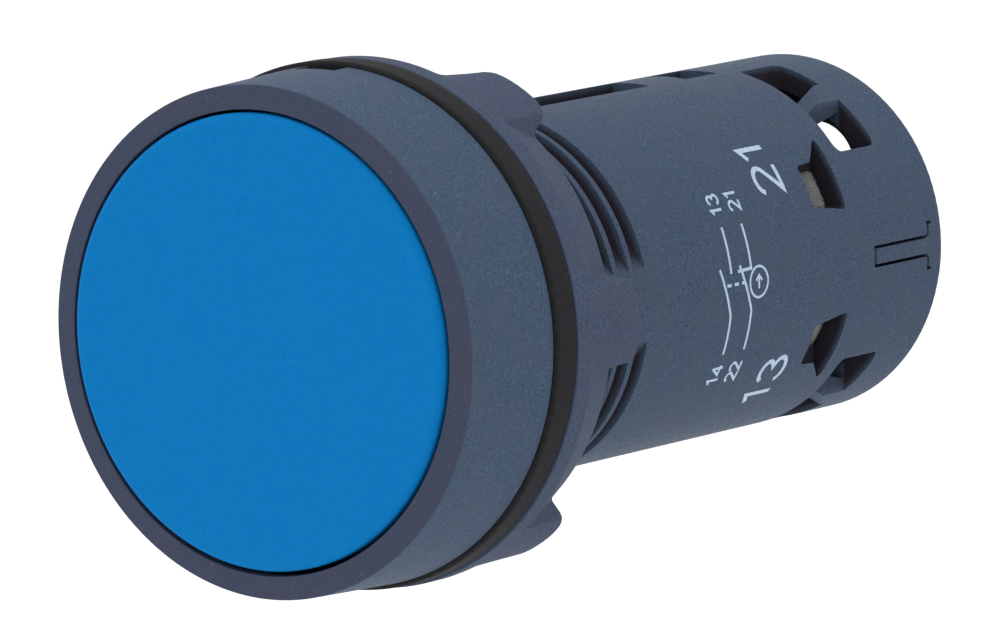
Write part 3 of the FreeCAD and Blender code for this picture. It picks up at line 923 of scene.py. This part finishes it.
class BUTTON_OT_printing(bpy.types.Operator):
    """Print the terminal numbers and the contact diagram on the barrel"""
    bl_idname = "button.printing"
    bl_label = "Printing"

    def execute(self, context):
        sizes, colours, _ = settings()
        r = BARREL_R
        fine, bold = sizes.fine_line / MM, sizes.bold_line / MM
        marks = []
        for text, top, angle in (("21", 26.8, 35.6), ("13", 27.2, -37.9)):
            paths = number_paths(text, 2.45, top, angle, r, spacing=0.82, widen=1.22)
            marks += [(p, bold) for p in paths]
        small = 1.04
        for text, middle, angle in (
                ("13", 21.84, 25.9), ("21", 23.76, 26.6),
                ("14", 21.95, -29.6), ("22", 23.85, -29.4)):
            paths = number_paths(text, small, middle - small / 2, angle, r, 0.7)
            marks += [(p, fine * 0.9) for p in paths]
        marks += [(line_path(p, r), fine) for p in diagram_lines()]
        marks += [(line_path(p, r), fine) for p in link_dashes()]
        ring = arc(math.radians(-0.1) * r, 24.75, 0.93, 0.93, 0, 352, 40)
        marks.append((np.vstack([ring, ring[:1]]), fine * 0.8))
        marks.append((line_path([(24.75, -2.2), (24.75, 1.9)], r), fine * 0.8))
        marks.append((line_path([(24.45, 0.3), (24.75, 2.0), (25.05, 0.3)], r), fine * 0.8))
        parts = [ribbon(divided(path), width, 0.015, r) for path, width in marks]
        points, faces = joined(parts)
        ink = marking_ink("marking_ink", colours.ink)
        piece = add_piece("printing", points, faces, ink, "housing")
        piece.data.shade_flat()
        return {"FINISHED"}


def diagram_lines():
    """Lines of the contact diagram, as (y, angle) points."""
    return [
        [(21.77, 18.8), (21.9, 4.1)],
        [(20.77, 6.0), (21.9, -9.1), (21.96, -21.8)],
        [(23.83, 18.7), (23.99, 4.6), (22.6, 4.4)],
        [(22.84, 6.1), (24.04, -8.6), (24.1, -21.5)],
    ]


def link_dashes():
    """Three dashes between the two moving contacts."""
    return [[(21.44 + 0.76 * i, 0.6), (21.44 + 0.76 * i + 0.42, 0.55)] for i in range(3)]


class BUTTON_OT_stage(bpy.types.Operator):
    """Set out the floor, the white surroundings, the soft lights and the camera"""
    bl_idname = "button.stage"
    bl_label = "Stage"

    def execute(self, context):
        _, _, studio = settings()
        scene = context.scene
        lay_floor(studio.floor_drop)
        world = bpy.data.worlds.new("studio")
        scene.world = world
        world.use_nodes = True
        world.node_tree.nodes["Background"].inputs["Color"].default_value = (1, 1, 1, 1)
        world.node_tree.nodes["Background"].inputs["Strength"].default_value = studio.daylight
        scene.view_settings.view_transform = "Standard"
        add_light("top_light", (-0.05, 0.05, 0.6), (0, 0.015, 0), 0.5, studio.top_light)
        add_light("side_light", (-0.5, -0.5, 0.25), (0, 0.015, 0), 0.4, studio.side_light)
        place_camera(studio)
        return {"FINISHED"}


def lay_floor(drop):
    """A flat square floor, well below the object so that it stays evenly lit."""
    reach = 4.0
    side = np.linspace(-reach, reach, 9)
    x, y = np.meshgrid(side, side, indexing="ij")
    points = np.stack([x, y, 0 * x - drop], -1).reshape(-1, 3)
    mesh = bpy.data.meshes.new("floor")
    mesh.from_pydata(points.tolist(), [], grid_faces(9, 9, False, False).tolist())
    mesh.materials.append(pale_floor("floor_board", (0.96, 0.96, 0.96)))
    floor = bpy.data.objects.new("floor", mesh)
    bpy.context.scene.collection.objects.link(floor)


def add_light(name, place, target, width, power):
    """A square soft light that faces the target."""
    lamp = bpy.data.lights.new(name, "AREA")
    lamp.size = width
    lamp.energy = power
    back = np.array(place, float) - np.array(target, float)
    back /= np.linalg.norm(back)
    side = np.cross([0.0, 0.0, 1.0], back)
    side = side / np.linalg.norm(side) if np.linalg.norm(side) > 1e-6 else np.array([1.0, 0, 0])
    up = np.cross(back, side)
    lamp_object = bpy.data.objects.new(name, lamp)
    rows = [[side[i], up[i], back[i], place[i]] for i in range(3)]
    lamp_object.matrix_world = Matrix(rows + [[0, 0, 0, 1]])
    bpy.context.scene.collection.objects.link(lamp_object)


def camera_axes(studio):
    """Right, up and back vectors of a camera that looks along +Y at azimuth 0, with the
    whole set turned about Y by the lean."""
    a, e, r, t = studio.azimuth, studio.elevation, studio.roll, studio.lean
    back = np.array([math.sin(a) * math.cos(e), -math.cos(a) * math.cos(e), math.sin(e)])
    side = np.array([math.cos(a), math.sin(a), 0.0])
    up = np.cross(back, side)
    right = side * math.cos(r) + up * math.sin(r)
    over = up * math.cos(r) - side * math.sin(r)
    spin = np.array([[math.cos(t), 0, -math.sin(t)], [0, 1, 0], [math.sin(t), 0, math.cos(t)]])
    return right, over, back, spin


def place_camera(studio):
    """Aim the camera at a point between the head and the barrel."""
    right, up, back, spin = camera_axes(studio)
    target = np.array(studio.aim)
    place = spin @ (target + back * studio.distance)
    right, up, back = spin @ right, spin @ up, spin @ back
    camera = bpy.data.cameras.new("camera")
    camera.lens = studio.focal_length
    camera.sensor_width = 36
    camera.clip_start = 0.01
    camera.clip_end = 20
    holder = bpy.data.objects.new("camera", camera)
    rows = [[right[i], up[i], back[i], place[i]] for i in range(3)]
    holder.matrix_world = Matrix(rows + [[0, 0, 0, 1]])
    bpy.context.scene.collection.objects.link(holder)
    bpy.context.scene.camera = holder


OPERATORS = (
    BUTTON_OT_stage, BUTTON_OT_cap, BUTTON_OT_bezel, BUTTON_OT_gasket, BUTTON_OT_nut,
    BUTTON_OT_housing, BUTTON_OT_inner, BUTTON_OT_metal, BUTTON_OT_springs, BUTTON_OT_printing)


class BUTTON_PT_panel(bpy.types.Panel):
    """Lists the operators in the order in which they are used"""
    bl_idname = "BUTTON_PT_panel"
    bl_label = "Push button"
    bl_space_type = "VIEW_3D"
    bl_region_type = "UI"
    bl_category = "Push Button"

    def draw(self, context):
        for operator in OPERATORS:
            self.layout.operator(operator.bl_idname)
        for group in settings():
            for name in group.bl_rna.properties.keys():
                if name not in ("rna_type", "name"):
                    self.layout.prop(group, name)


CLASSES = (ButtonSizes, ButtonColours, StudioSettings) + OPERATORS + (BUTTON_PT_panel,)


def register():
    for cls in CLASSES:
        bpy.utils.register_class(cls)
    bpy.types.Scene.button_sizes = PointerProperty(type=ButtonSizes)
    bpy.types.Scene.button_colours = PointerProperty(type=ButtonColours)
    bpy.types.Scene.button_studio = PointerProperty(type=StudioSettings)


def unregister():
    del bpy.types.Scene.button_studio
    del bpy.types.Scene.button_colours
    del bpy.types.Scene.button_sizes
    for cls in reversed(CLASSES):
        bpy.utils.unregister_class(cls)


def main():
    register()
    for operator in OPERATORS:
        group, name = operator.bl_idname.split(".")
        getattr(getattr(bpy.ops, group), name)()


if __name__ == "__main__":
    main()
